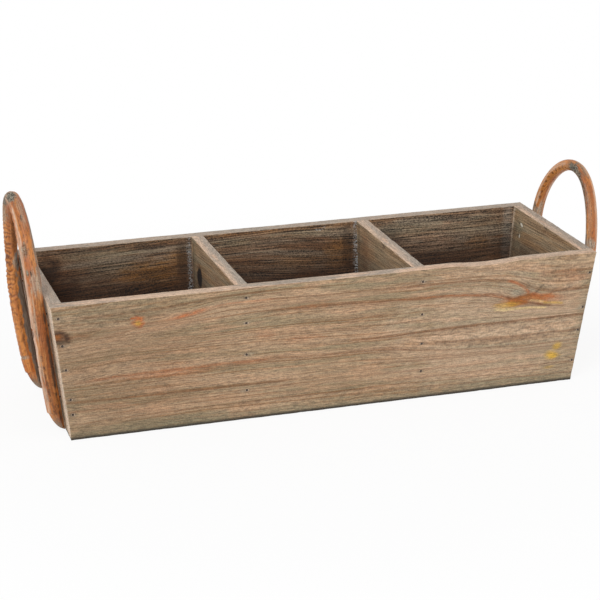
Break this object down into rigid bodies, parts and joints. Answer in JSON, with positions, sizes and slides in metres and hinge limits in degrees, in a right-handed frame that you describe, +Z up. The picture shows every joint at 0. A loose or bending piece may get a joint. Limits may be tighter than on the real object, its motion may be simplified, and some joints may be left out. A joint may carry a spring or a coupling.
{
  "type": "wooden planter trough",
  "caption": "Tapered wooden trough with dividers that hold small flower pots, and a bent-cane carrying handle nailed to each end.",
  "frame": {"origin": "middle of the base board's underside, on the plane that the trough stands on", "axes": "+Z up, +X along the trough towards its right end, -Y towards the front wall"},
  "size_m": [0.5382, 0.1746, 0.2034],
  "materials": {
    "fir_outside": "weathered, sawn and lightly sanded softwood, tan to grey-brown",
    "fir_inside": "rough-sawn softwood with a dark brown stain",
    "cane": "half-peeled cane, orange-brown with grey weathered patches",
    "nail": "dull grey wire nail"
  },
  "bodies": {
    "root": {"front_board": "fir_outside", "back_board": "fir_outside", "left_end_board": "fir_outside", "right_end_board": "fir_outside", "base_board": "fir_inside", "divider_1": "fir_inside", "divider_2": "fir_inside", "left_handle": "cane", "right_handle": "cane", "front_nail_01": "nail", "front_nail_02": "nail", "front_nail_03": "nail", "front_nail_04": "nail", "front_nail_05": "nail", "front_nail_06": "nail", "front_nail_07": "nail", "front_nail_08": "nail", "front_nail_09": "nail", "front_nail_10": "nail", "front_nail_11": "nail", "front_nail_12": "nail", "front_nail_13": "nail", "front_nail_14": "nail", "front_nail_15": "nail", "front_nail_16": "nail", "front_nail_17": "nail", "back_nail_01": "nail", "back_nail_02": "nail", "back_nail_03": "nail", "back_nail_04": "nail", "back_nail_05": "nail", "back_nail_06": "nail", "back_nail_07": "nail", "back_nail_08": "nail", "back_nail_09": "nail", "back_nail_10": "nail", "back_nail_11": "nail", "back_nail_12": "nail", "back_nail_13": "nail", "back_nail_14": "nail", "back_nail_15": "nail", "back_nail_16": "nail", "back_nail_17": "nail", "left_base_nail_1": "nail", "left_base_nail_2": "nail", "right_base_nail_1": "nail", "right_base_nail_2": "nail", "left_handle_nail_1": "nail", "left_handle_nail_2": "nail", "left_handle_nail_3": "nail", "left_handle_nail_4": "nail", "left_handle_nail_5": "nail", "left_handle_nail_6": "nail", "right_handle_nail_1": "nail", "right_handle_nail_2": "nail", "right_handle_nail_3": "nail", "right_handle_nail_4": "nail", "right_handle_nail_5": "nail", "right_handle_nail_6": "nail"}
  },
  "joints": []
}
